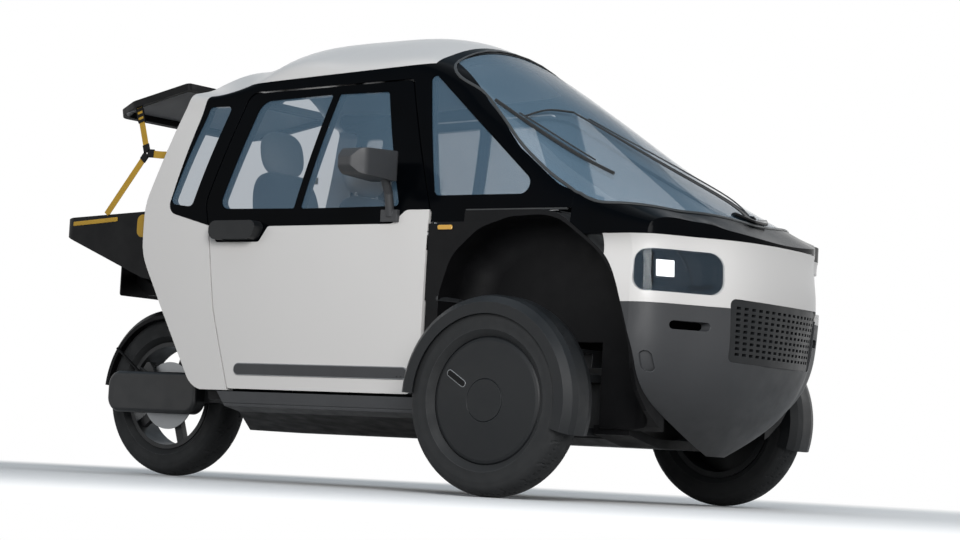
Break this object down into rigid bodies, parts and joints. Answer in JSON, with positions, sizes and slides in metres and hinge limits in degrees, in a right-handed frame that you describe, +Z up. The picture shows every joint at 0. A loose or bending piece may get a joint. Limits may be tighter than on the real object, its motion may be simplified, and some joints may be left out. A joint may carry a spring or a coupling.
{
  "type": "three-wheeled microcar",
  "caption": "Narrow enclosed electric microcar, wheels outboard in front and a single driven wheel behind, with side doors, a lifting rear flap and a fold-down tail tray.",
  "frame": {"origin": "on the floor under the middle of the box round the whole vehicle", "axes": "+Z up, the nose points along -Y, +X is the vehicle's left side, and X=0 is the middle plane"},
  "size_m": [1.604, 3.0027, 1.6201],
  "materials": {
    "white_paint": "gloss",
    "black_gloss": "gloss",
    "charcoal_plastic": "fine grain",
    "black_plastic": "moulded",
    "tinted_glass": "clear, blue-grey tint",
    "lamp_plastic": "clear over black",
    "tyre_rubber": "matt",
    "wheel_cover": "satin",
    "alloy_black": "satin black",
    "frame_paint": "satin black",
    "spring_paint": "satin yellow",
    "disc_steel": "brushed",
    "seat_fabric": "woven, pale headrest",
    "webbing": "woven webbing",
    "battery_case": "plain case"
  },
  "bodies": {
    "body": {"arch_liners": "black_plastic", "battery": "battery_case", "bumper": "charcoal_plastic", "cab_frame": "black_gloss", "coil_springs": "spring_paint", "cowl": "black_gloss", "dashboard": "black_plastic", "floor_pan": "black_plastic", "front_crossbox": "frame_paint", "grille": "charcoal_plastic", "headlamps": "lamp_plastic", "mudguard_rear": "charcoal_plastic", "nose_band": "white_paint", "plate_holder": "black_plastic", "rear_bulkhead": "black_plastic", "roof_shell": "white_paint", "seats": "seat_fabric", "side_skirts": "charcoal_plastic", "side_windows": "tinted_glass", "steering_bar": "black_plastic", "straps": "webbing", "swinging_arm": "frame_paint", "windscreen": "tinted_glass", "wishbones": "frame_paint"},
    "door_right": {"door_right_panel": "white_paint", "door_right_frame": "black_gloss", "door_right_glass": "tinted_glass", "mirror_right": "black_plastic"},
    "door_left": {"door_left_panel": "white_paint", "door_left_frame": "black_gloss", "door_left_glass": "tinted_glass", "mirror_left": "black_plastic"},
    "flap": {"rear_flap": "black_gloss"},
    "tray": {"tail_tray": "black_plastic"},
    "steer_right": {"knuckle_right": "frame_paint", "mudguard_front_right": "charcoal_plastic"},
    "steer_left": {"knuckle_left": "frame_paint", "mudguard_front_left": "charcoal_plastic"},
    "wheel_front_right": {"tyre_front_right": "tyre_rubber", "rim_front_right": "wheel_cover"},
    "wheel_front_left": {"tyre_front_left": "tyre_rubber", "rim_front_left": "wheel_cover"},
    "wheel_rear": {"tyre_rear": "tyre_rubber", "rim_rear": "alloy_black", "brake_disc": "disc_steel"}
  },
  "joints": [
    {"name": "door_right_hinge", "type": "hinge", "parent": "body", "child": "door_right", "pos_m": [-0.524, -0.3953, 0.635], "axis": [0, 0, 1], "range_deg": [0, 70]},
    {"name": "door_left_hinge", "type": "hinge", "parent": "body", "child": "door_left", "pos_m": [0.524, -0.3953, 0.635], "axis": [0, 0, -1], "range_deg": [0, 70]},
    {"name": "flap_hinge", "type": "hinge", "parent": "body", "child": "flap", "pos_m": [0, 0.7787, 1.444], "axis": [1, 0, 0], "range_deg": [-54, 0], "deforming": ["straps"]},
    {"name": "tray_hinge", "type": "hinge", "parent": "body", "child": "tray", "pos_m": [0, 0.9037, 0.745], "axis": [1, 0, 0], "range_deg": [0, 78], "deforming": ["straps"]},
    {"name": "steer_right", "type": "hinge", "parent": "body", "child": "steer_right", "pos_m": [-0.633, -0.8613, 0.305], "axis": [0, 0, 1], "range_deg": [-30, 30]},
    {"name": "steer_left", "type": "hinge", "parent": "body", "child": "steer_left", "pos_m": [0.633, -0.8613, 0.305], "axis": [0, 0, 1], "range_deg": [-30, 30]},
    {"name": "wheel_front_right", "type": "hinge", "parent": "steer_right", "child": "wheel_front_right", "pos_m": [-0.725, -0.8613, 0.305], "axis": [1, 0, 0], "continuous": true},
    {"name": "wheel_front_left", "type": "hinge", "parent": "steer_left", "child": "wheel_front_left", "pos_m": [0.725, -0.8613, 0.305], "axis": [1, 0, 0], "continuous": true},
    {"name": "wheel_rear", "type": "hinge", "parent": "body", "child": "wheel_rear", "pos_m": [0, 1.1387, 0.305], "axis": [1, 0, 0], "continuous": true}
  ],
  "couplings": [
    {"joint": "steer_left", "follows": "steer_right", "ratio": 1}
  ]
}
